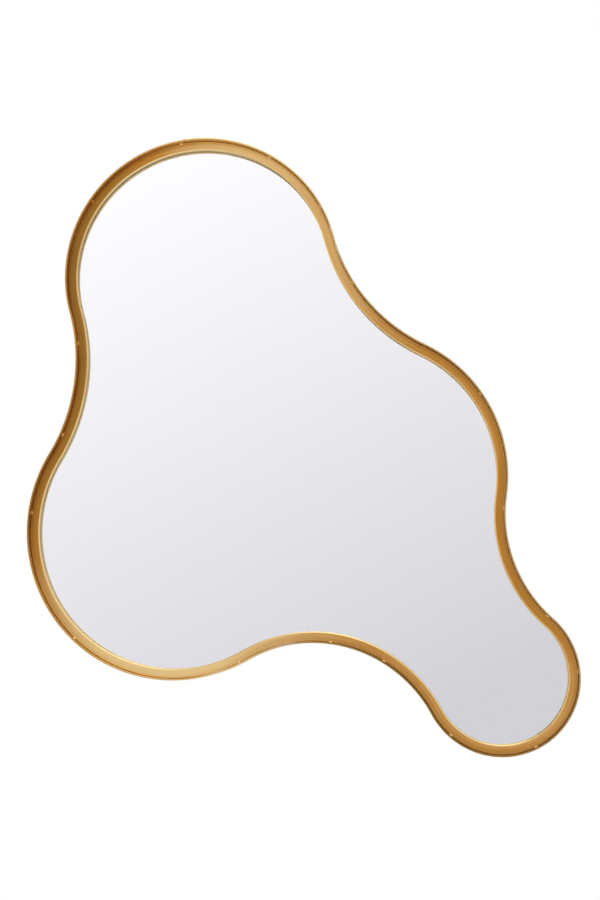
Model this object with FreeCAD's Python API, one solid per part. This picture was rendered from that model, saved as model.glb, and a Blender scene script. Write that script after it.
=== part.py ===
"""Irregular wall mirror: a welded steel frame with a free, lobed outline.

The frame is an outer band on edge with a flat bar tack welded inside it. The glass rests on foam
against the back of the bar and is taped to a backing board, which bent-over tabs hold in the band.
Two ring hangers and four rubber bumpers sit on the back of the board.

Millimetres. X runs to the viewer's right, Z up and Y from the viewer to the wall. The wall is the
plane Y = 0, and the origin is the middle of the outline's width and height on that plane.
"""
import FreeCAD, Part
import math
import os

from FreeCAD import Vector

# ---------------------------------------------------------------- outline
# Each lobe is a circle, and each neck a hollow arc that touches two lobes from outside.
# Their places and radii are shares of the outline's height, and its width follows from them.
# The lobes go clockwise as the viewer sees them, and NECK_RADII[i] follows LOBES[i].
OUTLINE_HEIGHT = 800.0
LOBES = [
    {"name": "top_left", "x": -0.159375, "z": 0.274375, "radius": 0.225625},
    {"name": "shoulder", "x": 0.099375, "z": -0.05875, "radius": 0.235},
    {"name": "foot", "x": 0.31875, "z": -0.376875, "radius": 0.123125},
    {"name": "bottom_left", "x": -0.20125, "z": -0.14375, "radius": 0.240625},
]
NECK_RADII = [0.28125, 0.2175, 0.2125, 0.295]

# ---------------------------------------------------------------- frame
BAND_THICKNESS = 2.0
BAND_EDGE_RADIUS = 0.4
LIP_REVEAL = 9.0            # how far the band stands in front of the face bar
BAR_WIDTH = 12.0
BAR_THICKNESS = 5.0
BAR_CORNER_RADIUS = 1.2
BAR_GAP = 0.3               # between the band and the face bar
CLOSING_WELD_ANGLE = 97.3   # on the top left lobe, counter-clockwise from +X
CLOSING_WELD_WIDTH = 1.6
CLOSING_WELD_RISE = 0.15
TACK_RADIUS = 2.2
TACK_SINK = 0.6             # middle of a tack's ball behind the front of the face bar
LOBE_TACK_ANGLES = {
    "top_left": [29.0, 60.0, 99.3, 145.4],
    "shoulder": [34.0],
    "foot": [4.0, -64.0, -131.0],
    "bottom_left": [-63.5, -133.0, 173.0],
}
NECK_TACK_ANGLES = [[-149.0], [177.0, -134.5], [82.7, 58.7], [-23.7, 6.0]]

# ---------------------------------------------------------------- glass and board
SEAT_FOAM_THICKNESS = 1.0
SEAT_FOAM_SETBACK = 1.6     # from each edge of the face bar
GLASS_THICKNESS = 4.0
GLASS_SEAM = 0.4            # small bevel that takes the sharp edge off the glass
TAPE_THICKNESS = 1.0
TAPE_WIDTH = 25.0
TAPE_INSET = 24.0           # tape stops this far inside the outline
TAPE_COUNT = 6
BOARD_THICKNESS = 6.0
EDGE_CLEARANCE = 0.5        # glass and board to the tabs
BACK_RECESS = 6.0           # board's back to the band's back edge
WALL_GAP = 2.0              # band's back edge to the wall

# ---------------------------------------------------------------- tabs
TAB_THICKNESS = 1.0
TAB_WIDTH = 14.0
TAB_REACH = 17.0            # from the band's inner wall to the middle of the rounded end
TAB_LEG = 8.0               # along the band, in front of the board's back
TAB_BEND_RADIUS = 0.8
TABS_PER_LOBE = [4, 2, 3, 3]

# ---------------------------------------------------------------- screws
SCREW_SHANK_RADIUS = 1.6
SCREW_HEAD_RADIUS = 3.2
SCREW_HEAD_HEIGHT = 2.2
SCREW_DOME_RADIUS = 1.1
SCREW_TIP = 1.4
SCREW_BITE = 4.5            # into the board
SCREW_HOLE_CLEARANCE = 0.3
CROSS_LENGTH = 3.8
CROSS_WIDTH = 0.8
CROSS_DEPTH = 1.2

# ---------------------------------------------------------------- ring hangers
HANGER_HEIGHT = 110.0       # above the outline's centre of area
HANGER_SPREAD = 250.0       # between the two pivots
WIRE_RADIUS = 1.5
PIVOT_CLEARANCE = 0.08
RING_WIDTH = 24.0           # between the middles of the ring's legs
RING_CORNER = 3.0
RING_LEG = 4.0
RING_LIFT = 0.4             # folded ring to the strap under it
STRAP_THICKNESS = 1.2
STRAP_WIDTH = 15.0
STRAP_END = 7.0             # last screw to the strap's end
STRAP_SCREW_PITCH = 12.0
STRAP_SCREW_MARGIN = 4.0    # folded ring to the head of the first screw

# ---------------------------------------------------------------- wall bumpers
BUMPER_BASE_RADIUS = 9.0
BUMPER_TIP_RADIUS = 7.5
BUMPER_EDGE_RADIUS = 0.8
BUMPER_INSET = 36.0
BUMPER_ANGLES = [110.0, 25.0, -60.0, -140.0]
WASHER_RADIUS = 4.4
WASHER_THICKNESS = 0.8
WASHER_CLEARANCE = 0.4
HEAD_SINK = 1.0             # screw head below the bumper's wall face

# ---------------------------------------------------------------- places along Y
BAND_BACK = -WALL_GAP
BOARD_BACK = BAND_BACK - BACK_RECESS
BOARD_FRONT = BOARD_BACK - BOARD_THICKNESS
GLASS_BACK = BOARD_FRONT - TAPE_THICKNESS
GLASS_FRONT = GLASS_BACK - GLASS_THICKNESS
BAR_BACK = GLASS_FRONT - SEAT_FOAM_THICKNESS
BAR_FRONT = BAR_BACK - BAR_THICKNESS
BAND_FRONT = BAR_FRONT - LIP_REVEAL

# ---------------------------------------------------------------- places across the frame
BAR_OUTER_INSET = BAND_THICKNESS + BAR_GAP
BAR_INNER_INSET = BAR_OUTER_INSET + BAR_WIDTH
GLASS_INSET = BAND_THICKNESS + TAB_THICKNESS + EDGE_CLEARANCE

SAME_PLACE = 0.001
FULL_TURN = 360.0
Y_AXIS = Vector(0, 1, 0)
ORIGIN = Vector(0, 0, 0)


def polar(centre, radius, angle):
    """Point at an angle in degrees round a centre, in the plane of the outline."""
    turn = math.radians(angle)
    return centre + Vector(radius * math.cos(turn), 0, radius * math.sin(turn))


def angle_of(centre, point):
    return math.degrees(math.atan2(point.z - centre.z, point.x - centre.x))


def lobe_centre(index):
    lobe = LOBES[index % len(LOBES)]
    return Vector(lobe["x"], 0, lobe["z"]) * OUTLINE_HEIGHT


def lobe_radius(index):
    return LOBES[index % len(LOBES)]["radius"] * OUTLINE_HEIGHT


def neck_radius(index):
    return NECK_RADII[index] * OUTLINE_HEIGHT


def neck_centre(index):
    """Centre of the hollow arc that touches lobe index and the next one, outside the mirror."""
    first = lobe_centre(index)
    second = lobe_centre(index + 1)
    to_first = lobe_radius(index) + neck_radius(index)
    to_second = lobe_radius(index + 1) + neck_radius(index)
    apart = (second - first).Length
    along = (to_first ** 2 - to_second ** 2 + apart ** 2) / (2 * apart)
    aside = math.sqrt(to_first ** 2 - along ** 2)
    forward = (second - first).normalize()
    outward = Vector(-forward.z, 0, forward.x)
    return first + forward * along + outward * aside


def lobe_span(index):
    """Start and end angle of a lobe's arc, clockwise, in degrees."""
    centre = lobe_centre(index)
    start = angle_of(centre, neck_centre(index - 1 if index else len(LOBES) - 1))
    end = angle_of(centre, neck_centre(index))
    while end > start:
        end -= FULL_TURN
    return start, end


def neck_span(index):
    """Start and end angle of a neck's arc, counter-clockwise, in degrees."""
    centre = neck_centre(index)
    start = angle_of(centre, lobe_centre(index))
    end = angle_of(centre, lobe_centre(index + 1))
    while end < start:
        end += FULL_TURN
    return start, end


def arc_edge(centre, radius, span):
    start, end = span
    middle = (start + end) / 2
    points = [polar(centre, radius, angle) for angle in (start, middle, end)]
    return Part.Arc(*points).toShape()


def outline_wire(inset, y):
    """The mirror's outline, moved inwards by inset, in the plane at y."""
    edges = []
    for index in range(len(LOBES)):
        edges.append(arc_edge(lobe_centre(index), lobe_radius(index) - inset, lobe_span(index)))
        edges.append(arc_edge(neck_centre(index), neck_radius(index) + inset, neck_span(index)))
    wire = Part.Wire(edges)
    wire.translate(Vector(0, y, 0))
    return wire


def lobed_plate(inset, front, back):
    return Part.Face(outline_wire(inset, front)).extrude(Vector(0, back - front, 0))


def lobed_ring(outer_inset, inner_inset, front, back):
    outside = lobed_plate(outer_inset, front, back)
    inside = lobed_plate(inner_inset, front, back)
    return outside.cut(inside)


def edges_in_plane(shape, y):
    """Edges that lie wholly in the plane at y."""
    return [edge for edge in shape.Edges
            if max(abs(vertex.Point.y - y) for vertex in edge.Vertexes) < SAME_PLACE
            and abs(edge.CenterOfMass.y - y) < SAME_PLACE]


def cylinder_along_y(centre, radius, front, back):
    start = Vector(centre.x, front, centre.z)
    return Part.makeCylinder(radius, back - front, start, Y_AXIS)


def place_on_arc(shape, centre, angle):
    """Turn a shape made on the +X side of the origin to its angle, then move it to the centre."""
    placed = shape.copy()
    placed.rotate(ORIGIN, Y_AXIS, -angle)
    placed.translate(centre)
    return placed


# ---------------------------------------------------------------- frame pieces
def closing_weld_block(rise):
    """Radial block where the band's two ends meet, from inside the band to rise outside it."""
    low = lobe_radius(0) - 2 * BAND_THICKNESS
    high = lobe_radius(0) + rise
    block = Part.makeBox(high - low, BAND_BACK - BAND_FRONT, CLOSING_WELD_WIDTH,
                         Vector(low, BAND_FRONT, -CLOSING_WELD_WIDTH / 2))
    return place_on_arc(block, lobe_centre(0), CLOSING_WELD_ANGLE)


def outer_band():
    band = lobed_ring(0, BAND_THICKNESS, BAND_FRONT, BAND_BACK)
    rims = edges_in_plane(band, BAND_FRONT) + edges_in_plane(band, BAND_BACK)
    band = band.makeFillet(BAND_EDGE_RADIUS, rims)
    return band.cut(closing_weld_block(BAND_THICKNESS))


def closing_weld():
    block = closing_weld_block(CLOSING_WELD_RISE)
    return block.cut(lobed_plate(BAND_THICKNESS, BAND_FRONT, BAND_BACK))


def face_bar():
    bar = lobed_ring(BAR_OUTER_INSET, BAR_INNER_INSET, BAR_FRONT, BAR_BACK)
    return bar.makeFillet(BAR_CORNER_RADIUS, edges_in_plane(bar, BAR_FRONT))


def tack_ball(centre, radius, angle):
    place = polar(centre, radius, angle) + Vector(0, BAR_FRONT + TACK_SINK, 0)
    return Part.makeSphere(TACK_RADIUS, place)


def lobe_tack(index, angle):
    """Bead of weld in the corner between the band's inner wall and the front of the face bar."""
    centre = lobe_centre(index)
    wall = lobe_radius(index) - BAND_THICKNESS
    ball = tack_ball(centre, wall - BAR_GAP / 2, angle)
    return ball.common(cylinder_along_y(centre, wall, BAND_FRONT, BAR_FRONT))


def neck_tack(index, angle):
    """The same bead on a neck, where the band's inner wall curves the other way."""
    centre = neck_centre(index)
    wall = neck_radius(index) + BAND_THICKNESS
    ball = tack_ball(centre, wall + BAR_GAP / 2, angle)
    reach = wall + BAR_GAP + TACK_RADIUS
    front_of_bar = ball.common(cylinder_along_y(centre, reach, BAND_FRONT, BAR_FRONT))
    return front_of_bar.cut(cylinder_along_y(centre, wall, BAND_FRONT, BAR_FRONT))


def tack_welds():
    beads = []
    for index, lobe in enumerate(LOBES):
        beads += [lobe_tack(index, angle) for angle in LOBE_TACK_ANGLES[lobe["name"]]]
    for index, angles in enumerate(NECK_TACK_ANGLES):
        beads += [neck_tack(index, angle) for angle in angles]
    return Part.makeCompound(beads)


# ---------------------------------------------------------------- glass, foam, tape and board
def glass_seat_foam():
    return lobed_ring(BAR_OUTER_INSET + SEAT_FOAM_SETBACK, BAR_INNER_INSET - SEAT_FOAM_SETBACK,
                      BAR_BACK, GLASS_FRONT)


def mirror_glass():
    glass = lobed_plate(GLASS_INSET, GLASS_FRONT, GLASS_BACK)
    rims = edges_in_plane(glass, GLASS_FRONT) + edges_in_plane(glass, GLASS_BACK)
    return glass.makeChamfer(GLASS_SEAM, rims)


def foam_tapes():
    """Upright strips of tape at an even pitch, each cut to the outline."""
    field = lobed_plate(TAPE_INSET, GLASS_BACK, BOARD_FRONT)
    box = field.BoundBox
    pitch = box.XLength / TAPE_COUNT
    tapes = []
    for number in range(TAPE_COUNT):
        middle = box.XMin + pitch * (number + 0.5)
        strip = Part.makeBox(TAPE_WIDTH, TAPE_THICKNESS, box.ZLength,
                             Vector(middle - TAPE_WIDTH / 2, GLASS_BACK, box.ZMin))
        tapes.append(strip.common(field))
    return tapes


def backing_board(screws):
    board = lobed_plate(GLASS_INSET, BOARD_FRONT, BOARD_BACK)
    return board.cut(screws)


# ---------------------------------------------------------------- screws
def pan_screw(place, seat, length):
    """Pan head screw whose head rests at seat, pointing to the viewer, with a cross in its head."""
    head = cylinder_along_y(place, SCREW_HEAD_RADIUS, seat, seat + SCREW_HEAD_HEIGHT)
    head = head.makeFillet(SCREW_DOME_RADIUS, edges_in_plane(head, seat + SCREW_HEAD_HEIGHT))
    for size_x, size_z in ((CROSS_LENGTH, CROSS_WIDTH), (CROSS_WIDTH, CROSS_LENGTH)):
        corner = Vector(place.x - size_x / 2, seat + SCREW_HEAD_HEIGHT - CROSS_DEPTH,
                        place.z - size_z / 2)
        head = head.cut(Part.makeBox(size_x, CROSS_DEPTH, size_z, corner))
    tip_start = seat - length + SCREW_TIP
    shank = cylinder_along_y(place, SCREW_SHANK_RADIUS, tip_start, seat)
    tip = Part.makeCone(0, SCREW_SHANK_RADIUS, SCREW_TIP,
                        Vector(place.x, seat - length, place.z), Y_AXIS)
    return head.fuse([shank, tip]).removeSplitter()


def screw_hole(place, front, back):
    return cylinder_along_y(place, SCREW_SHANK_RADIUS + SCREW_HOLE_CLEARANCE, front, back)


# ---------------------------------------------------------------- tabs
def tab_places():
    """Lobe number and angle of each tab, evenly spread along the lobes."""
    places = []
    for index, count in enumerate(TABS_PER_LOBE):
        start, end = lobe_span(index)
        for number in range(count):
            places.append((index, start + (end - start) * (number + 0.5) / count))
    return places


def tab_screw_place(index, angle):
    return polar(lobe_centre(index), lobe_radius(index) - BAND_THICKNESS - TAB_REACH, angle)


def board_tab(index, angle):
    """Steel tab: a leg on the band's inner wall, bent over the back of the board."""
    wall = lobe_radius(index) - BAND_THICKNESS
    back = BOARD_BACK + TAB_THICKNESS
    front = BOARD_BACK - TAB_LEG
    strip = Part.makeBox(TAB_REACH, back - front, TAB_WIDTH,
                         Vector(wall - TAB_REACH, front, -TAB_WIDTH / 2))
    leg = strip.common(cylinder_along_y(ORIGIN, wall, front, back))
    leg = leg.cut(cylinder_along_y(ORIGIN, wall - TAB_THICKNESS, front, BOARD_BACK))
    end_place = Vector(wall - TAB_REACH, 0, 0)
    rounded_end = cylinder_along_y(end_place, TAB_WIDTH / 2, BOARD_BACK, back)
    tab = leg.fuse(rounded_end).removeSplitter()
    bend = [edge for edge in edges_in_plane(tab, back)
            if abs(edge.CenterOfMass.x - wall) < BAND_THICKNESS]
    tab = tab.makeFillet(TAB_BEND_RADIUS, bend)
    tab = tab.cut(screw_hole(end_place, BOARD_BACK, back))
    return place_on_arc(tab, lobe_centre(index), angle)


# ---------------------------------------------------------------- ring hangers
PIVOT_Y = BOARD_BACK + STRAP_THICKNESS + RING_LIFT + WIRE_RADIUS
EYE_INNER_RADIUS = WIRE_RADIUS + PIVOT_CLEARANCE
EYE_OUTER_RADIUS = EYE_INNER_RADIUS + STRAP_THICKNESS
RING_DROP = RING_CORNER + RING_LEG + RING_WIDTH / 2 + WIRE_RADIUS


def hanger_pivots():
    """Middle of each ring's bar, left and right of the outline's centre of area."""
    centre = lobed_plate(0, BOARD_FRONT, BOARD_BACK).CenterOfMass
    height = centre.z + HANGER_HEIGHT
    return [Vector(centre.x + side * HANGER_SPREAD / 2, PIVOT_Y, height) for side in (-1, 1)]


def strap_screw_places(pivot):
    first = pivot - Vector(0, 0, RING_DROP + STRAP_SCREW_MARGIN + SCREW_HEAD_RADIUS)
    return [first, first - Vector(0, 0, STRAP_SCREW_PITCH)]


def hanger_strap(pivot):
    """Steel strap with a rolled eye at its top and two screw holes."""
    top = BOARD_BACK + STRAP_THICKNESS
    screws = strap_screw_places(pivot)
    bottom = screws[-1].z - STRAP_END + STRAP_WIDTH / 2
    plate = Part.makeBox(STRAP_WIDTH, STRAP_THICKNESS, pivot.z - bottom,
                         Vector(pivot.x - STRAP_WIDTH / 2, BOARD_BACK, bottom))
    end_place = Vector(pivot.x, 0, bottom)
    rounded_end = cylinder_along_y(end_place, STRAP_WIDTH / 2, BOARD_BACK, top)
    eye_start = pivot - Vector(STRAP_WIDTH / 2, 0, 0)
    x_axis = Vector(1, 0, 0)
    eye = Part.makeCylinder(EYE_OUTER_RADIUS, STRAP_WIDTH, eye_start, x_axis)
    strap = plate.fuse([rounded_end, eye])
    strap = strap.cut(Part.makeCylinder(EYE_INNER_RADIUS, STRAP_WIDTH, eye_start, x_axis))
    for place in screws:
        strap = strap.cut(screw_hole(place, BOARD_BACK, top))
    return strap.removeSplitter()


def ring_corner(middle, side):
    """Quarter of a round bend between the bar and one leg."""
    bend = Part.makeTorus(RING_CORNER, WIRE_RADIUS, middle, Y_AXIS)
    reach = RING_CORNER + WIRE_RADIUS
    low_x = middle.x if side > 0 else middle.x - reach
    quarter = Part.makeBox(reach, 2 * WIRE_RADIUS, reach,
                           Vector(low_x, middle.y - WIRE_RADIUS, middle.z))
    return bend.common(quarter)


def hanger_ring(pivot):
    """Bent wire in the shape of a D, hanging from its straight bar."""
    half = RING_WIDTH / 2
    bar_half = half - RING_CORNER
    pieces = [Part.makeCylinder(WIRE_RADIUS, 2 * bar_half, pivot - Vector(bar_half, 0, 0),
                                Vector(1, 0, 0))]
    leg_top = pivot - Vector(0, 0, RING_CORNER)
    for side in (-1, 1):
        pieces.append(ring_corner(leg_top + Vector(side * bar_half, 0, 0), side))
        pieces.append(Part.makeCylinder(WIRE_RADIUS, RING_LEG,
                                        leg_top + Vector(side * half, 0, -RING_LEG)))
    bow_middle = leg_top - Vector(0, 0, RING_LEG)
    bow = Part.makeTorus(half, WIRE_RADIUS, bow_middle, Y_AXIS)
    reach = half + WIRE_RADIUS
    lower_half = Part.makeBox(2 * reach, 2 * WIRE_RADIUS, reach,
                              bow_middle - Vector(reach, WIRE_RADIUS, reach))
    pieces.append(bow.common(lower_half))
    return pieces[0].fuse(pieces[1:]).removeSplitter()


# ---------------------------------------------------------------- wall bumpers
BUMPER_FLOOR = -(HEAD_SINK + SCREW_HEAD_HEIGHT + WASHER_THICKNESS)


def bumper_places():
    return [polar(lobe_centre(index), lobe_radius(index) - BUMPER_INSET, angle)
            for index, angle in enumerate(BUMPER_ANGLES)]


def wall_bumper(place):
    """Tapered rubber foot with a pocket for its washer and screw head."""
    base = Vector(place.x, BOARD_BACK, place.z)
    foot = Part.makeCone(BUMPER_BASE_RADIUS, BUMPER_TIP_RADIUS, -BOARD_BACK, base, Y_AXIS)
    foot = foot.makeFillet(BUMPER_EDGE_RADIUS, edges_in_plane(foot, 0))
    pocket = cylinder_along_y(place, WASHER_RADIUS + WASHER_CLEARANCE, BUMPER_FLOOR, 0)
    return foot.cut(pocket).cut(screw_hole(place, BOARD_BACK, BUMPER_FLOOR))


def bumper_washer(place):
    back = BUMPER_FLOOR + WASHER_THICKNESS
    disc = cylinder_along_y(place, WASHER_RADIUS, BUMPER_FLOOR, back)
    return disc.cut(screw_hole(place, BUMPER_FLOOR, back))


# ---------------------------------------------------------------- the whole mirror
def save(name, shape):
    shape.exportStep("parts/" + name + ".step")


def main():
    os.makedirs("parts", exist_ok=True)

    save("outer_band", outer_band())
    save("outer_band_closing_weld", closing_weld())
    save("face_bar", face_bar())
    save("tack_welds", tack_welds())
    save("glass_seat_foam", glass_seat_foam())
    save("mirror_glass", mirror_glass())
    for number, tape in enumerate(foam_tapes(), 1):
        save("foam_tape_%d" % number, tape)

    tab_seat = BOARD_BACK + TAB_THICKNESS
    tab_screws = []
    for number, (index, angle) in enumerate(tab_places(), 1):
        save("board_tab_%d" % number, board_tab(index, angle))
        tab_screws.append(pan_screw(tab_screw_place(index, angle), tab_seat,
                                    TAB_THICKNESS + SCREW_BITE))
    save("board_tab_screws", Part.makeCompound(tab_screws))

    strap_seat = BOARD_BACK + STRAP_THICKNESS
    strap_screws = []
    for side, pivot in zip(("left", "right"), hanger_pivots()):
        save("hanger_strap_" + side, hanger_strap(pivot))
        save("hanger_ring_" + side, hanger_ring(pivot))
        for place in strap_screw_places(pivot):
            strap_screws.append(pan_screw(place, strap_seat, STRAP_THICKNESS + SCREW_BITE))
    save("hanger_screws", Part.makeCompound(strap_screws))

    bumper_seat = BUMPER_FLOOR + WASHER_THICKNESS
    washers = []
    bumper_screws = []
    for number, place in enumerate(bumper_places(), 1):
        save("wall_bumper_%d" % number, wall_bumper(place))
        washers.append(bumper_washer(place))
        bumper_screws.append(pan_screw(place, bumper_seat, bumper_seat - BOARD_BACK + SCREW_BITE))
    save("bumper_washers", Part.makeCompound(washers))
    save("bumper_screws", Part.makeCompound(bumper_screws))

    save("backing_board", backing_board(tab_screws + strap_screws + bumper_screws))


main()
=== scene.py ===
import math

import bmesh
import bpy
from mathutils import Matrix, Vector, noise


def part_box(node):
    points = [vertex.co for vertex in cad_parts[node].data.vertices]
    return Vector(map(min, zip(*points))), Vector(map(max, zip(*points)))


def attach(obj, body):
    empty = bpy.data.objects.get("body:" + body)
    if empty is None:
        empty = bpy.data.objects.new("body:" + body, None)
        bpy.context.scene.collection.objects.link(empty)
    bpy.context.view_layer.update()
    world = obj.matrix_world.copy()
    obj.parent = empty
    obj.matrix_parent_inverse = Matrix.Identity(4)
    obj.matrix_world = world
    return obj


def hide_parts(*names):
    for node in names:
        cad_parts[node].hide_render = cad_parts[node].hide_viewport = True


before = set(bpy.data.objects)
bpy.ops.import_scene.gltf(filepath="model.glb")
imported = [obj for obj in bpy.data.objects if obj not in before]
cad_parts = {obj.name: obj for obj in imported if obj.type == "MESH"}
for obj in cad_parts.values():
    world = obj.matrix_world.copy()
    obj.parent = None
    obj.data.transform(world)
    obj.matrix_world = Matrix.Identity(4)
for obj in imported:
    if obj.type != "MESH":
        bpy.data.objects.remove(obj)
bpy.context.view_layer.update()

bl_info = {
    "name": "Irregular wall mirror",
    "version": (1, 0, 0),
    "blender": (4, 5, 0),
    "location": "3D View > Sidebar > Mirror",
    "description": "Dresses the welded gold frame, the glass and the back of a lobed wall mirror",
    "category": "Object",
}

BODY = "mirror"
MM = 0.001

# ---------------------------------------------------------------- places taken from the frame
BAND_LOW, BAND_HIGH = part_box("outer_band")
BAR_LOW, BAR_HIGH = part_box("face_bar")
GLASS_LOW, GLASS_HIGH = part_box("mirror_glass")
OUTLINE_HEIGHT = BAND_HIGH.z - BAND_LOW.z

# Lobes (x, z and radius) and the necks that follow them (radius), as shares of the outline's
# height, clockwise as the viewer sees them.
LOBES = [
    (-0.159375, 0.274375, 0.225625),
    (0.099375, -0.05875, 0.235),
    (0.31875, -0.376875, 0.123125),
    (-0.20125, -0.14375, 0.240625),
]
NECK_RADII = [0.28125, 0.2175, 0.2125, 0.295]

# ---------------------------------------------------------------- band, bar and glass
BAND_THICKNESS = 2.0 * MM
BAND_OUTER_INSET = 0.02 * MM  # keeps the finer curve inside the solid's facets
BAND_EDGE_RADIUS = 0.4 * MM
BAR_OUTER_INSET = 2.3 * MM
BAR_INNER_INSET = 14.3 * MM
BAR_CORNER_RADIUS = 1.2 * MM
CORNER_SEGMENTS = 4
SWEEP_STEP = math.radians(1.25)
SAME_POINT = 0.01 * MM
GLASS_INSET = 3.5 * MM
GLASS_SEAM = 0.4 * MM
GLASS_RIM_ANGLE = math.radians(60)
SILVER_THICKNESS = 0.1 * MM
SILVER_GAP = 0.02 * MM

# ---------------------------------------------------------------- welds
# Degrees counter-clockwise from +X on each arc. Three on lobe 0 (29.0, 99.3 and 145.4) and the
# last on neck 2 lie at or near specks that show from the front; the others are guessed.
TACK_ANGLES = {
    ("lobe", 0): [29.0, 60.0, 99.3, 145.4],
    ("lobe", 1): [34.0],
    ("lobe", 2): [4.0, -64.0, -131.0],
    ("lobe", 3): [-63.5, -133.0, 173.0],
    ("neck", 0): [-149.0],
    ("neck", 1): [177.0, -134.5],
    ("neck", 2): [82.7, 58.7],
    ("neck", 3): [-23.7, 6.0],
}
TACK_RADIUS = 2.2 * MM
TACK_OFF_BAND = 0.4 * MM  # from the band's inner wall to the middle of a bead
TACK_SIZE = 0.85
TACK_SIZE_DRIFT = 0.2
TACK_SEED_STEPS = (3.1, 7.7)
BEAD_ACROSS = 0.8
BEAD_DEEP = 0.72
BEAD_ALONG = 1.35
BEAD_LUMPS = 0.16
BEAD_LUMP_SCALE = 900.0
CLOSING_WELD_ANGLE = 97.3
CLOSING_WELD_WIDTH = 1.6 * MM
CLOSING_WELD_CUTS = 40
CLOSING_WELD_ROUND = 0.35 * MM
CLOSING_WELD_RISE = 0.05 * MM
RIPPLE_SCALE_DEEP = 420.0
RIPPLE_SCALE_WIDE = 300.0
RIPPLE_RISE = 0.06 * MM
RIPPLE_SHIFT = 0.12 * MM

# ---------------------------------------------------------------- camera and studio
CAMERA_PLACE = Vector((0.20505, -2.034, -0.21168))
CAMERA_AIM = Vector((0.003, -0.034, -0.014))
CAMERA_LENS = 63.047
MIRROR_MIDDLE = Vector((0, 0, 0))
FLOOR_RADIUS = 3.2
FLOOR_SIDES = 96
FLOOR_FADE = (1.5, 3.1, 1.0, 0.0)
FLOOR_GRAIN_SCALE = 30.0
FLOOR_GRAIN_SHADE = 0.97
FLOOR_ROUGHNESS = 0.7
# Name, place, side and power of each square lamp. All point at the mirror's middle.
LAMPS = [
    ("top_lamp", (0.2, -1.6, 2.3), 1.5, 14.0),
    ("back_lamp", (0.4, 2.0, 1.6), 1.6, 26.0),
]
# The studio round the mirror, which only the metal and the glass show. It goes by the X part
# (across) or the Z part (up) of the way looked: from, to, and the amount before and after.
BRIGHT_RIGHT = (0.08, 0.3, 0.0, 0.7)
BRIGHT_LOW = (-0.32, -0.11, 0.9, 0.0)
SCREEN_START = (-0.46, -0.28, 0.22, 1.0)
SCREEN_END = (-0.82, -0.62, 1.0, 0.0)
BRIGHTER_UP = 2.1
DARKER_ACROSS = 1.1
BRIGHT_AHEAD = 0.13
STUDIO_LIFT = 0.11
BLACK = (0.0, 0.0, 0.0)
WHITE = (1.0, 1.0, 1.0)

# ---------------------------------------------------------------- numbers of the finishes
NOISE_LOW = 0.3
NOISE_HIGH = 0.7

# Painted light (above 0) and painted shade (below 0) on the plating: x, z, reach and amount.
PAINTED_LIGHT_DRIFTS = [
    (-0.18, -0.34, 0.32, 1.0),
    (-0.06, 0.40, 0.23, 0.62),
    (0.06, 0.22, 0.13, 0.32),
    (-0.42, 0.22, 0.46, -0.95),
    (-0.40, -0.06, 0.16, -0.30),
    (0.33, -0.38, 0.22, 0.16),
    (0.10, -0.36, 0.26, 0.02),
    (0.33, -0.09, 0.32, -0.20),
]
# The painted light and shade that the band alone has besides.
BAND_PAINTED_LIGHT_DRIFTS = [
    (-0.34, 0.24, 0.46, 0.85),
    (0.15, -0.35, 0.30, -0.9),
    (0.33, -0.09, 0.32, 0.5),
    (-0.24, -0.30, 0.20, -0.5),
]
BAND_ROUGHER = 0.08
TAB_SHADE = 0.9
TONE_DROP = 0.1
MOTTLE_SCALE = 14.0
MOTTLE_SHARE = 0.4
PLATING_SMOOTHER = 0.05
PLATING_ROUGHER = 0.06

# Streaks and lines are long along the metal (the first two numbers) and fine across it.
STREAK_SCALE = (9.0, 9.0, 420.0)
STREAK_MEAN = 0.5
STREAK_SHARE = 0.7
LINE_SCALE = (30.0, 30.0, 2600.0)
LINE_SHARE = 0.25

# The bar's face: what add_run stores in its middle, how far it falls from there in metres per
# square metre, how the shade painted next to the band lifts inwards per metre, and where
# a highlight is painted along its edges.
BAR_MIDDLE = BAR_LOW.y + (BAR_OUTER_INSET + BAR_INNER_INSET) / 2
BAR_CROWN = 6.0
PAINTED_SHADE_ACROSS = 11.0
EDGE_HIGHLIGHT_START = 3.8 * MM
EDGE_HIGHLIGHT_END = 5.6 * MM
PAINTED_EDGE_HIGHLIGHT = 1.3

TAB_GRAIN_SCALE = 420.0
TAB_GRAIN = 0.1 * MM
WELD_GRAIN_SCALE = 900.0
WELD_GRAIN = 0.12 * MM
WELD_TONE_SHARE = 0.6
WELD_TONE_LIFT = 0.55
WELD_ROUGHNESS = (0.26, 0.42)
GLASS_IOR = 1.52
PAINT_ROUGHNESS = 0.5
FIBRE_SCALE = 700.0
FIBRE_SHARE = 0.6
FIBRE_DEPTH = 0.08 * MM
CLOUD_SCALE = 9.0
CLOUD_SHARE = 0.5
BOARD_TONE_DROP = 0.25
BOARD_CONTRAST = 1.6
BOARD_ROUGHNESS = (0.55, 0.7)
PLAIN_ROUGHNESS_DRIFT = 0.06


# ---------------------------------------------------------------- outline
def lobe(index):
    """Centre and radius of a lobe."""
    x, z, radius = LOBES[index % len(LOBES)]
    return Vector((x, 0, z)) * OUTLINE_HEIGHT, radius * OUTLINE_HEIGHT


def neck(index):
    """Centre and radius of the hollow arc between a lobe and the next one."""
    first, first_radius = lobe(index)
    second, second_radius = lobe(index + 1)
    radius = NECK_RADII[index % len(LOBES)] * OUTLINE_HEIGHT
    to_first = first_radius + radius
    to_second = second_radius + radius
    apart = (second - first).length
    along = (to_first ** 2 - to_second ** 2 + apart ** 2) / (2 * apart)
    aside = math.sqrt(to_first ** 2 - along ** 2)
    forward = (second - first).normalized()
    outward = Vector((-forward.z, 0, forward.x))
    return first + forward * along + outward * aside, radius


def angle_of(centre, point):
    return math.atan2(point.z - centre.z, point.x - centre.x)


def polar(centre, radius, angle):
    return centre + Vector((radius * math.cos(angle), 0, radius * math.sin(angle)))


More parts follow.
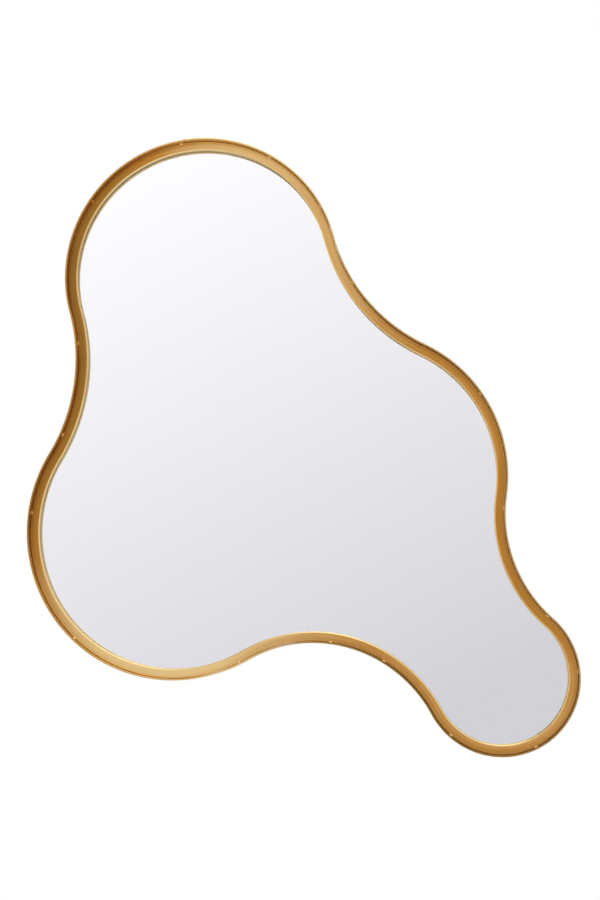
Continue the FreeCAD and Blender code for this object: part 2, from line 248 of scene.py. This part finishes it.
def outline_arcs():
    """Kind, index, centre, radius, start angle and clockwise turn of each arc, in order."""
    arcs = []
    for index in range(len(LOBES)):
        centre, radius = lobe(index)
        before = neck(index - 1)[0]
        after = neck(index)[0]
        start = angle_of(centre, before)
        turn = (start - angle_of(centre, after)) % math.tau
        arcs.append(("lobe", index, centre, radius, start, turn))
        centre, radius = neck(index)
        start = angle_of(centre, lobe(index)[0])
        turn = -((angle_of(centre, lobe(index + 1)[0]) - start) % math.tau)
        arcs.append(("neck", index, centre, radius, start, turn))
    return arcs


ARCS = outline_arcs()
OUTLINE_LENGTH = sum(radius * abs(turn) for _, _, _, radius, _, turn in ARCS)


def place_on_outline(point):
    """Distance along the outline and inset from it of a point near the frame."""
    nearest = []
    run = 0.0
    for kind, _, centre, radius, start, turn in ARCS:
        outside = 1 if kind == "lobe" else -1
        inset = (radius - math.hypot(point.x - centre.x, point.z - centre.z)) * outside
        way = 1 if turn > 0 else -1
        swept = (start - angle_of(centre, point)) * way % math.tau
        past = min(swept - abs(turn), math.tau - swept)
        if past > 0:
            swept = abs(turn) if past == swept - abs(turn) else 0.0
        nearest.append((math.hypot(max(past, 0.0) * radius, inset), run + swept * radius, inset))
        run += radius * abs(turn)
    return min(nearest)[1:]


def point_at_start(bm, inset, depth):
    """A vertex where the outline starts, moved inwards by inset."""
    _, _, centre, radius, start, _ = ARCS[0]
    return bm.verts.new(polar(centre, radius - inset, start) + Vector((0, depth, 0)))


def sweep(bm, geometry):
    """Carry a section or a point once round the outline, and close it."""
    for _, _, centre, _, _, turn in ARCS:
        made = bmesh.ops.spin(
            bm, geom=geometry, cent=centre, axis=(0, 1, 0), angle=turn,
            steps=max(2, round(abs(turn) / SWEEP_STEP)), use_merge=False, use_duplicate=False)
        geometry = made["geom_last"]
    bmesh.ops.remove_doubles(bm, verts=bm.verts, dist=SAME_POINT)


def swept_section(outer_inset, inner_inset, front, back, rounds):
    """A bar of the outline; rounds gives the radius of each corner of its section.

    The corners run: outer front, inner front, inner back, outer back.
    """
    bm = bmesh.new()
    corners = [point_at_start(bm, inset, depth)
               for inset, depth in ((outer_inset, front), (inner_inset, front),
                                    (inner_inset, back), (outer_inset, back))]
    bm.faces.new(corners)
    for corner, size in zip(corners, rounds):
        if size:
            bmesh.ops.bevel(bm, geom=[corner], offset=size, offset_type="OFFSET",
                            segments=CORNER_SEGMENTS, profile=0.5, affect="VERTICES", material=-1)
    bmesh.ops.delete(bm, geom=bm.faces[:], context="FACES_ONLY")
    sweep(bm, bm.verts[:] + bm.edges[:])
    return bm


def outline_plate(inset, front, back):
    """A plate of the outline, moved inwards by inset."""
    bm = bmesh.new()
    sweep(bm, [point_at_start(bm, inset, front)])
    face = bmesh.ops.contextual_create(bm, geom=bm.edges[:])["faces"]
    grown = bmesh.ops.extrude_face_region(bm, geom=face)["geom"]
    moved = [g for g in grown if isinstance(g, bmesh.types.BMVert)]
    bmesh.ops.translate(bm, verts=moved, vec=(0, back - front, 0))
    return bm


def runs_deep(edge):
    """Whether an edge runs straight from front to back."""
    run = edge.verts[1].co - edge.verts[0].co
    return math.hypot(run.x, run.z) < SAME_POINT


# ---------------------------------------------------------------- pieces
def new_object(name, data):
    """Make an object and put it in the scene."""
    made = bpy.data.objects.new(name, data)
    bpy.context.scene.collection.objects.link(made)
    return made


def new_mesh(name, bm):
    """Turn a bmesh into a mesh, and free it."""
    mesh = bpy.data.meshes.new(name)
    bm.to_mesh(mesh)
    bm.free()
    return mesh


def point_at(thing, place, aim):
    """Put a camera or a lamp at a place and turn it to what it aims at."""
    thing.location = place
    thing.rotation_euler = (aim - place).to_track_quat("-Z", "Y").to_euler()


def finished_piece(bm, name, finish, node, smooth=True):
    """Make the object, give it its finish, hang it on the body and hide the CAD node it stands in
    for.
    """
    bmesh.ops.recalc_face_normals(bm, faces=bm.faces)
    mesh = new_mesh(name, bm)
    piece = new_object(name, mesh)
    if smooth:
        mesh.shade_smooth()
        normals = piece.modifiers.new("even_shading", "WEIGHTED_NORMAL")
        normals.keep_sharp = True
    mesh.materials.append(finish)
    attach(piece, BODY)
    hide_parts(node)
    return piece


def add_run(piece):
    """Store, for each point, where it lies along the outline and across the metal."""
    run = piece.data.attributes.new("run", "FLOAT_VECTOR", "POINT")
    ring = OUTLINE_LENGTH / math.tau
    for vertex, value in zip(piece.data.vertices, run.data):
        along, inset = place_on_outline(vertex.co)
        angle = along / ring
        value.vector = (ring * math.cos(angle), ring * math.sin(angle), inset + vertex.co.y)


def finish_nodes(finish, *starts):
    """Give a finish to the CAD nodes whose names start in one of these ways."""
    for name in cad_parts:
        if name.startswith(starts):
            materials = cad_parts[name].data.materials
            materials.clear()
            materials.append(finish)


# ---------------------------------------------------------------- shader maths
class Value:
    """A socket that takes part in Python expressions."""

    def __init__(self, finish, socket):
        self.finish = finish
        self.socket = socket

    def _math(self, operation, *values):
        return self.finish.node("ShaderNodeMath", {"operation": operation}, *values)

    def __add__(self, other):
        return self._math("ADD", self, other)

    __radd__ = __add__

    def __sub__(self, other):
        return self._math("SUBTRACT", self, other)

    def __rsub__(self, other):
        return self._math("SUBTRACT", other, self)

    def __mul__(self, other):
        return self._math("MULTIPLY", self, other)

    __rmul__ = __mul__

    def __gt__(self, other):
        return self._math("GREATER_THAN", self, other)

    def clamp(self):
        return self.finish.node("ShaderNodeClamp", {}, self, 0.0, 1.0)


class Finish:
    """A material, or the world, built node by node."""

    def __init__(self, tree_owner):
        tree_owner.use_nodes = True
        self.owner = tree_owner
        self.tree = tree_owner.node_tree
        self.tree.nodes.clear()

    def node(self, kind, settings, *values, out=0, **named):
        """Add a node; settings are set first, then its sockets by order or by name."""
        made = self.tree.nodes.new(kind)
        for key, value in settings.items():
            setattr(made, key, value)
        for index, value in enumerate(values):
            self._put(made.inputs[index], value)
        for key, value in named.items():
            self._put(made.inputs[key.replace("_", " ")], value)
        return Value(self, made.outputs[out]) if made.outputs else None

    def _put(self, socket, value):
        if isinstance(value, Value):
            self.tree.links.new(value.socket, socket)
        elif value is not None:
            if socket.type == "RGBA" and len(value) == 3:
                value = (*value, 1.0)
            socket.default_value = value

    def object_place(self):
        return self.node("ShaderNodeTexCoord", {}, out="Object")

    def attribute(self, name):
        return self.node("ShaderNodeAttribute", {"attribute_name": name}, out="Vector")

    def parts(self, vector):
        """The X, Y and Z parts of a vector."""
        split = self.node("ShaderNodeSeparateXYZ", {}, vector).socket.node
        return [Value(self, part) for part in split.outputs]

    def stretched(self, vector, scale):
        return self.node("ShaderNodeMapping", {}, vector, Scale=scale)

    def noise(self, vector, scale, detail=3.0, roughness=0.6):
        return self.node("ShaderNodeTexNoise", {}, Vector=vector, Scale=scale, Detail=detail,
                         Roughness=roughness)

    def mix_colour(self, factor, first, second):
        """Mix two colours, whose sockets come after five for numbers and vectors."""
        return self.node("ShaderNodeMix", {"data_type": "RGBA"}, factor, *[None] * 5, first,
                         second, out=2)

    def spread(self, pattern, low, high):
        """Let a noise pattern, over its usual range, give a value from low to high."""
        return self.node("ShaderNodeMapRange", {}, pattern, NOISE_LOW, NOISE_HIGH, low, high)

    def fade(self, value, start, end, before, after):
        """Go softly from one amount to another while a value goes from start to end."""
        return self.node("ShaderNodeMapRange", {"interpolation_type": "SMOOTHSTEP"}, value,
                         start, end, before, after)

    def bump(self, height, distance, normal=None):
        return self.node("ShaderNodeBump", {}, Strength=1.0, Distance=distance, Height=height,
                         Normal=normal, out="Normal")

    def surface(self, **sockets):
        shader = self.node("ShaderNodeBsdfPrincipled", {}, **sockets)
        self.node("ShaderNodeOutputMaterial", {}, shader)
        return self.owner


def new_finish(name):
    return Finish(bpy.data.materials.new(name))


def shaded(colour, share):
    return [part * share for part in colour]


# ---------------------------------------------------------------- finishes
def plating_tone(f, place, mottle, painted_light):
    """Share of bright plating: broad drifts of painted light and shade, broken up by mottling."""
    tone = mottle * MOTTLE_SHARE - TONE_DROP
    for x, z, reach, amount in painted_light:
        away = f.node("ShaderNodeVectorMath", {"operation": "DISTANCE"}, place, (x, 0.0, z),
                      out="Value")
        tone = tone + f.fade(away, 0.0, reach, amount, 0.0)
    return tone


def plating_colour(f, tone, settings, dull, shade=1.0):
    """Dark plating below a tone of 0, dull plating at 0 and bright plating at 1."""
    colour = f.mix_colour((tone + 1.0).clamp(), shaded(settings.gold_dark, shade),
                          shaded(dull, shade))
    return f.mix_colour(tone.clamp(), colour, shaded(settings.gold, shade))


def plating_roughness(f, settings, mottle, rougher=0.0):
    middle = settings.gold_roughness + rougher
    return f.spread(mottle, middle - PLATING_SMOOTHER, middle + PLATING_ROUGHER)


def brushed_gold(name, settings, dull, painted_light=PAINTED_LIGHT_DRIFTS, rougher=0.0, crown=0.0):
    """Satin antique gold plating: fine lines along the metal, a mottled tone, painted light and
    shade.
    """
    f = new_finish(name)
    place = f.object_place()
    mottle = f.noise(place, MOTTLE_SCALE, detail=4.0, roughness=0.55)
    run = f.attribute("run")
    streaks = f.noise(f.stretched(run, STREAK_SCALE), 1.0)
    lines = f.noise(f.stretched(run, LINE_SCALE), 1.0, detail=2.0)
    tone = plating_tone(f, place, mottle, painted_light) + (streaks - STREAK_MEAN) * STREAK_SHARE
    normal = f.bump(lines * LINE_SHARE + streaks, settings.brush_depth)
    if crown:
        across = f.parts(run)[2] - BAR_MIDDLE
        hollow = across * across
        # Painted highlight along both edges of the bar, and painted shade that deepens towards the
        # band.
        edge_highlight = f.fade(hollow, EDGE_HIGHLIGHT_START ** 2, EDGE_HIGHLIGHT_END ** 2, 0.0, PAINTED_EDGE_HIGHLIGHT)
        tone = tone + across * PAINTED_SHADE_ACROSS + edge_highlight
        normal = f.bump(hollow * -crown, 1.0, normal)
    return f.surface(Base_Color=plating_colour(f, tone, settings, dull), Metallic=1.0,
                     Roughness=plating_roughness(f, settings, mottle, rougher), Normal=normal)


def tab_gold(name, settings):
    """The same plating on the bent tabs: unbrushed, and a little darker."""
    f = new_finish(name)
    place = f.object_place()
    mottle = f.noise(place, MOTTLE_SCALE, detail=4.0, roughness=0.55)
    # The tabs carry the same painted light and shade drifts as the plating.
    tone = plating_tone(f, place, mottle, PAINTED_LIGHT_DRIFTS)
    return f.surface(
        Base_Color=plating_colour(f, tone, settings, settings.gold_dull, TAB_SHADE),
        Metallic=1.0, Roughness=plating_roughness(f, settings, mottle),
        Normal=f.bump(f.noise(place, TAB_GRAIN_SCALE), TAB_GRAIN))


def weld_gold(name, settings):
    """Weld metal under the same plating: lumpy, with the plating's painted light and shade, but
    lighter.
    """
    f = new_finish(name)
    place = f.object_place()
    grain = f.noise(place, WELD_GRAIN_SCALE)
    tone = plating_tone(f, place, grain, PAINTED_LIGHT_DRIFTS) * WELD_TONE_SHARE + WELD_TONE_LIFT
    return f.surface(Base_Color=plating_colour(f, tone, settings, settings.gold_dull),
                     Metallic=1.0, Roughness=f.spread(grain, *WELD_ROUGHNESS),
                     Normal=f.bump(grain, WELD_GRAIN))


def clear_glass(settings):
    f = new_finish("clear_float_glass")
    return f.surface(Base_Color=settings.glass_tint, Roughness=0.0, IOR=GLASS_IOR,
                     Transmission_Weight=1.0)


def silvering(settings):
    """Silver towards the glass, and grey protective paint towards the board."""
    f = new_finish("silver_and_backing_paint")
    back = f.parts(f.object_place())[1] > GLASS_HIGH.y - SILVER_THICKNESS / 2
    colour = f.mix_colour(back, settings.silver, settings.back_paint)
    return f.surface(Base_Color=colour, Metallic=1.0 - back, Roughness=back * PAINT_ROUGHNESS)


def fibreboard(settings):
    """Dark board with pale fibres, and clouds in its tone."""
    f = new_finish("dark_fibreboard")
    place = f.object_place()
    fibres = f.noise(place, FIBRE_SCALE, detail=4.0, roughness=0.7)
    clouds = f.noise(place, CLOUD_SCALE, detail=4.0)
    tone = (fibres * FIBRE_SHARE + clouds * CLOUD_SHARE - BOARD_TONE_DROP) * BOARD_CONTRAST
    colour = f.mix_colour(tone.clamp(), settings.board, settings.board_worn)
    return f.surface(Base_Color=colour, Roughness=f.spread(clouds, *BOARD_ROUGHNESS),
                     Normal=f.bump(fibres, FIBRE_DEPTH))


def plain_finish(name, first, second, scale, roughness, grain, grain_scale, metallic=0.0):
    """A finish whose tone drifts between two colours, with a fine grain."""
    f = new_finish(name)
    place = f.object_place()
    drift = f.noise(place, scale, detail=4.0, roughness=0.55)
    fine = f.noise(place, grain_scale)
    return f.surface(
        Base_Color=f.mix_colour(f.spread(drift, 0.0, 1.0).clamp(), first, second),
        Metallic=metallic,
        Roughness=f.spread(fine, roughness - PLAIN_ROUGHNESS_DRIFT,
                           roughness + PLAIN_ROUGHNESS_DRIFT),
        Normal=f.bump(fine, grain))


# ---------------------------------------------------------------- settings
def colour_setting(name, description, default):
    return bpy.props.FloatVectorProperty(
        name=name, description=description, default=default, size=3, subtype="COLOR",
        min=0.0, max=1.0)


class FrameSettings(bpy.types.PropertyGroup):
    # Painted shade takes the plating towards dark gold and painted light towards gold.
    gold: colour_setting("Gold", "Plating where it is clean and bright", (0.92, 0.67, 0.29))
    gold_dull: colour_setting("Dull gold", "Plating where it has aged", (0.53, 0.235, 0.038))
    gold_band: colour_setting("Band gold", "Aged plating of the band on edge", (0.47, 0.27, 0.075))
    gold_dark: colour_setting("Dark gold", "Plating where it has browned", (0.20, 0.116, 0.023))
    gold_roughness: bpy.props.FloatProperty(
        name="Plating roughness", description="How satin the plating is", default=0.36,
        min=0.0, max=1.0, subtype="FACTOR")
    brush_depth: bpy.props.FloatProperty(
        name="Brush depth", description="Depth of the fine lines along the metal",
        default=0.00003, min=0.0, unit="LENGTH")


class GlassSettings(bpy.types.PropertyGroup):
    glass_tint: colour_setting("Glass", "Tint of the clear glass", (0.985, 0.995, 0.99))
    silver: colour_setting("Silver", "Silver behind the glass", (0.96, 0.96, 0.965))
    back_paint: colour_setting("Backing paint", "Paint that covers the silver", (0.24, 0.25, 0.25))


class BackSettings(bpy.types.PropertyGroup):
    board: colour_setting("Board", "Face of the fibreboard", (0.040, 0.030, 0.023))
    board_worn: colour_setting("Board, pale", "Pale fibres of the board", (0.115, 0.088, 0.065))
    zinc: colour_setting("Zinc", "Zinc plating of screws and hangers", (0.74, 0.75, 0.76))
    zinc_dull: colour_setting("Dull zinc", "Zinc where it has dulled", (0.58, 0.59, 0.60))
    rubber: colour_setting("Rubber", "Bumpers", (0.035, 0.035, 0.037))
    foam: colour_setting("Seat foam", "Foam strip between bar and glass", (0.03, 0.03, 0.032))
    tape: colour_setting("Tape", "Foam tape between glass and board", (0.82, 0.82, 0.79))


class StageSettings(bpy.types.PropertyGroup):
    high_light: colour_setting("Upper left", "Backdrop the mirror shows at the upper left",
                               (1.0, 0.975, 1.0))
    low_light: colour_setting("Lower right", "Backdrop the mirror shows at the lower right",
                              (0.618, 0.606, 0.648))
    floor: colour_setting("Floor", "Plain floor", (0.86, 0.86, 0.86))
    floor_drop: bpy.props.FloatProperty(
        name="Floor drop", description="From the mirror's middle down to the floor",
        default=1.45, min=0.5, unit="LENGTH")


SETTINGS = {
    "mirror_frame": FrameSettings,
    "mirror_glass": GlassSettings,
    "mirror_back": BackSettings,
    "mirror_stage": StageSettings,
}


# ---------------------------------------------------------------- operators
class MIRROR_OT_outer_band(bpy.types.Operator):
    """Make the band on edge that runs round the mirror"""

    bl_idname = "mirror.outer_band"
    bl_label = "Outer band"

    def execute(self, context):
        settings = context.scene.mirror_frame
        # The band gets painted light and shade of its own on top of the plating's.
        finish = brushed_gold("brushed_gold_band", settings, settings.gold_band,
                              painted_light=PAINTED_LIGHT_DRIFTS + BAND_PAINTED_LIGHT_DRIFTS, rougher=BAND_ROUGHER)
        bm = swept_section(BAND_OUTER_INSET, BAND_THICKNESS, BAND_LOW.y, BAND_HIGH.y,
                           [BAND_EDGE_RADIUS] * 4)
        add_run(finished_piece(bm, "outer_band_plated", finish, "outer_band"))
        return {"FINISHED"}


class MIRROR_OT_face_bar(bpy.types.Operator):
    """Make the broad flat bar that faces the viewer"""

    bl_idname = "mirror.face_bar"
    bl_label = "Face bar"

    def execute(self, context):
        settings = context.scene.mirror_frame
        finish = brushed_gold("brushed_gold_bar", settings, settings.gold_dull, crown=BAR_CROWN)
        bm = swept_section(BAR_OUTER_INSET, BAR_INNER_INSET, BAR_LOW.y, BAR_HIGH.y,
                           [BAR_CORNER_RADIUS, BAR_CORNER_RADIUS, 0, 0])
        add_run(finished_piece(bm, "face_bar_plated", finish, "face_bar"))
        return {"FINISHED"}


class MIRROR_OT_welds(bpy.types.Operator):
    """Make the tack welds in the corner and the closing weld of the band"""

    bl_idname = "mirror.welds"
    bl_label = "Welds"

    def execute(self, context):
        finish = weld_gold("plated_weld", context.scene.mirror_frame)
        self.tacks(finish)
        self.closing(finish)
        return {"FINISHED"}

    def tacks(self, finish):
        bm = bmesh.new()
        index_step, number_step = TACK_SEED_STEPS
        for (kind, index), angles in TACK_ANGLES.items():
            centre, radius = lobe(index) if kind == "lobe" else neck(index)
            side = -1 if kind == "lobe" else 1
            for number, angle in enumerate(angles):
                turn = math.radians(angle)
                seed = Vector((index * index_step + number * number_step, len(kind), angle))
                place = polar(centre, radius + side * (BAND_THICKNESS + TACK_OFF_BAND), turn)
                place.y = BAR_LOW.y
                size = TACK_RADIUS * (TACK_SIZE + TACK_SIZE_DRIFT * noise.noise(seed))
                self.bead(bm, size, seed, turn, place)
        finished_piece(bm, "tack_welds_plated", finish, "tack_welds")

    def bead(self, bm, size, seed, turn, place):
        """One lumpy bead, long along the joint and flat to the front."""
        bead = bmesh.ops.create_icosphere(bm, subdivisions=3, radius=size)["verts"]
        for vertex in bead:
            lump = noise.noise(vertex.co * BEAD_LUMP_SCALE + seed)
            vertex.co *= 1.0 + BEAD_LUMPS * lump
            vertex.co.x *= BEAD_ACROSS
            vertex.co.y *= BEAD_DEEP
            vertex.co.z *= BEAD_ALONG
        bmesh.ops.rotate(bm, verts=bead, cent=(0, 0, 0), matrix=Matrix.Rotation(-turn, 3, "Y"))
        bmesh.ops.translate(bm, verts=bead, vec=place)

    def closing(self, finish):
        centre, radius = lobe(0)
        turn = math.radians(CLOSING_WELD_ANGLE)
        depth = BAND_HIGH.y - BAND_LOW.y
        bm = bmesh.new()
        bead = bmesh.ops.create_cube(bm, size=1.0)["verts"]
        bmesh.ops.scale(bm, verts=bead, vec=(BAND_THICKNESS, depth, CLOSING_WELD_WIDTH))
        bmesh.ops.subdivide_edges(bm, edges=[e for e in bm.edges if runs_deep(e)],
                                  cuts=CLOSING_WELD_CUTS, use_grid_fill=True)
        bmesh.ops.bevel(bm, geom=[e for e in bm.edges if runs_deep(e)],
                        offset=CLOSING_WELD_ROUND, offset_type="OFFSET", segments=3,
                        profile=0.5, affect="EDGES", material=-1)
        for vertex in bm.verts:
            ripple = noise.noise(Vector((0, vertex.co.y * RIPPLE_SCALE_DEEP,
                                         vertex.co.z * RIPPLE_SCALE_WIDE)))
            side = 1 if vertex.co.x > 0 else -1
            vertex.co.x += RIPPLE_RISE * ripple + CLOSING_WELD_RISE * side
            vertex.co.z += RIPPLE_SHIFT * ripple
        bmesh.ops.translate(bm, verts=bm.verts, vec=(radius - BAND_THICKNESS / 2, 0, 0))
        bmesh.ops.rotate(bm, verts=bm.verts, cent=(0, 0, 0), matrix=Matrix.Rotation(-turn, 3, "Y"))
        bmesh.ops.translate(bm, verts=bm.verts,
                            vec=centre + Vector((0, (BAND_LOW.y + BAND_HIGH.y) / 2, 0)))
        finished_piece(bm, "closing_weld_plated", finish,
                       "outer_band_closing_weld")


class MIRROR_OT_glass(bpy.types.Operator):
    """Make the glass and the silver behind it"""

    bl_idname = "mirror.glass"
    bl_label = "Mirror glass"

    def execute(self, context):
        settings = context.scene.mirror_glass
        silver_front = GLASS_HIGH.y - SILVER_THICKNESS
        glass = outline_plate(GLASS_INSET, GLASS_LOW.y, silver_front - SILVER_GAP)
        rim = [e for e in glass.edges if e.calc_face_angle(0.0) > GLASS_RIM_ANGLE]
        bmesh.ops.bevel(glass, geom=rim, offset=GLASS_SEAM, offset_type="OFFSET", segments=1,
                        profile=0.5, affect="EDGES", material=-1)
        finished_piece(glass, "glass_pane", clear_glass(settings), "mirror_glass",
                       smooth=False)
        silver = outline_plate(GLASS_INSET + GLASS_SEAM, silver_front, GLASS_HIGH.y)
        finished_piece(silver, "silver_coat", silvering(settings), "mirror_glass",
                       smooth=False)
        return {"FINISHED"}


class MIRROR_OT_foam(bpy.types.Operator):
    """Finish the foam strip and the foam tapes round and behind the glass"""

    bl_idname = "mirror.foam"
    bl_label = "Foam"

    def execute(self, context):
        settings = context.scene.mirror_back
        foam = plain_finish("black_closed_cell_foam", settings.foam, shaded(settings.foam, 1.7),
                            scale=60.0, roughness=0.85, grain=0.2 * MM, grain_scale=1400.0)
        finish_nodes(foam, "glass_seat_foam")
        tape = plain_finish("white_foam_tape", settings.tape, shaded(settings.tape, 0.93),
                            scale=40.0, roughness=0.8, grain=0.1 * MM, grain_scale=1200.0)
        finish_nodes(tape, "foam_tape")
        return {"FINISHED"}


class MIRROR_OT_backing_board(bpy.types.Operator):
    """Finish the fibreboard at the back"""

    bl_idname = "mirror.backing_board"
    bl_label = "Backing board"

    def execute(self, context):
        finish_nodes(fibreboard(context.scene.mirror_back), "backing_board")
        return {"FINISHED"}


class MIRROR_OT_hardware(bpy.types.Operator):
    """Finish the tabs, screws, washers and ring hangers"""

    bl_idname = "mirror.hardware"
    bl_label = "Tabs, screws and hangers"

    def execute(self, context):
        settings = context.scene.mirror_back
        zinc = plain_finish("zinc_plate", settings.zinc_dull, settings.zinc, scale=90.0,
                            roughness=0.34, grain=0.04 * MM, grain_scale=1500.0, metallic=1.0)
        # The tabs come first, because the name of their screws starts as theirs do.
        finish_nodes(tab_gold("plated_tab", context.scene.mirror_frame), "board_tab")
        finish_nodes(zinc, "board_tab_screws", "bumper", "hanger")
        return {"FINISHED"}


class MIRROR_OT_wall_bumpers(bpy.types.Operator):
    """Finish the rubber bumpers"""

    bl_idname = "mirror.wall_bumpers"
    bl_label = "Wall bumpers"

    def execute(self, context):
        settings = context.scene.mirror_back
        rubber = plain_finish("black_rubber", settings.rubber, shaded(settings.rubber, 1.5),
                              scale=120.0, roughness=0.62, grain=0.06 * MM, grain_scale=1600.0)
        finish_nodes(rubber, "wall_bumper")
        return {"FINISHED"}


class MIRROR_OT_stage(bpy.types.Operator):
    """Place the camera, the floor, the lamps and the backdrop"""

    bl_idname = "mirror.stage"
    bl_label = "Stage"

    def execute(self, context):
        settings = context.scene.mirror_stage
        self.camera(context)
        self.floor(settings)
        self.lamps()
        self.backdrop(context, settings)
        context.scene.view_settings.view_transform = "Standard"
        return {"FINISHED"}

    def camera(self, context):
        data = bpy.data.cameras.new("camera")
        data.lens = CAMERA_LENS
        camera = new_object("camera", data)
        point_at(camera, CAMERA_PLACE, CAMERA_AIM)
        context.scene.camera = camera

    def floor(self, settings):
        bm = bmesh.new()
        bmesh.ops.create_circle(bm, cap_ends=True, radius=FLOOR_RADIUS, segments=FLOOR_SIDES)
        bmesh.ops.translate(bm, verts=bm.verts, vec=(0, 0, -settings.floor_drop))
        floor = new_object("floor", new_mesh("floor", bm))
        f = new_finish("pale_floor")
        place = f.object_place()
        grain = f.noise(place, FLOOR_GRAIN_SCALE, roughness=0.5)
        away = f.node("ShaderNodeVectorMath", {"operation": "LENGTH"}, place, out="Value")
        colour = f.mix_colour(grain, settings.floor, shaded(settings.floor, FLOOR_GRAIN_SHADE))
        floor.data.materials.append(f.surface(
            Base_Color=colour, Roughness=FLOOR_ROUGHNESS, Alpha=f.fade(away, *FLOOR_FADE)))

    def lamps(self):
        for name, place, size, power in LAMPS:
            data = bpy.data.lights.new(name, "AREA")
            data.shape = "SQUARE"
            data.size = size
            data.energy = power
            point_at(new_object(name, data), Vector(place), MIRROR_MIDDLE)

    def backdrop(self, context, settings):
        """Plain white for the camera, and a soft grey and white studio for metal and glass."""
        world = bpy.data.worlds.new("studio")
        context.scene.world = world
        f = Finish(world)
        across, _, up = f.parts(f.node("ShaderNodeTexCoord", {}, out="Generated"))
        ahead = (up * BRIGHTER_UP - across * DARKER_ACROSS + BRIGHT_AHEAD).clamp()
        share = ahead + f.fade(across, *BRIGHT_RIGHT) + f.fade(up, *BRIGHT_LOW)
        seen = f.mix_colour(share.clamp(), settings.low_light, settings.high_light)
        clear = f.fade(across, *SCREEN_START) + f.fade(across, *SCREEN_END)
        seen = f.mix_colour(clear.clamp(), BLACK, seen)
        camera = f.node("ShaderNodeLightPath", {}, out="Is Camera Ray")
        light = f.node("ShaderNodeBackground", {}, f.mix_colour(camera, seen, WHITE),
                       (1.0 - camera) * STUDIO_LIFT + 1.0)
        f.node("ShaderNodeOutputWorld", {}, light)


STEPS = [
    MIRROR_OT_outer_band, MIRROR_OT_face_bar, MIRROR_OT_welds, MIRROR_OT_glass, MIRROR_OT_foam,
    MIRROR_OT_backing_board, MIRROR_OT_hardware, MIRROR_OT_wall_bumpers, MIRROR_OT_stage,
]


class MIRROR_PT_pieces(bpy.types.Panel):
    """Lists the pieces of the mirror"""

    bl_idname = "MIRROR_PT_pieces"
    bl_label = "Wall mirror"
    bl_space_type = "VIEW_3D"
    bl_region_type = "UI"
    bl_category = "Mirror"

    def draw(self, context):
        for step in STEPS:
            self.layout.operator(step.bl_idname)
        for group in SETTINGS:
            box = self.layout.box()
            for key in SETTINGS[group].__annotations__:
                box.prop(getattr(context.scene, group), key)


def register():
    for group, kind in SETTINGS.items():
        bpy.utils.register_class(kind)
        setattr(bpy.types.Scene, group, bpy.props.PointerProperty(type=kind))
    for kind in [*STEPS, MIRROR_PT_pieces]:
        bpy.utils.register_class(kind)


def unregister():
    for kind in [MIRROR_PT_pieces, *reversed(STEPS)]:
        bpy.utils.unregister_class(kind)
    for group, kind in SETTINGS.items():
        delattr(bpy.types.Scene, group)
        bpy.utils.unregister_class(kind)


def main():
    register()
    for step in STEPS:
        group, name = step.bl_idname.split(".")
        getattr(getattr(bpy.ops, group), name)()


if __name__ == "__main__":
    main()
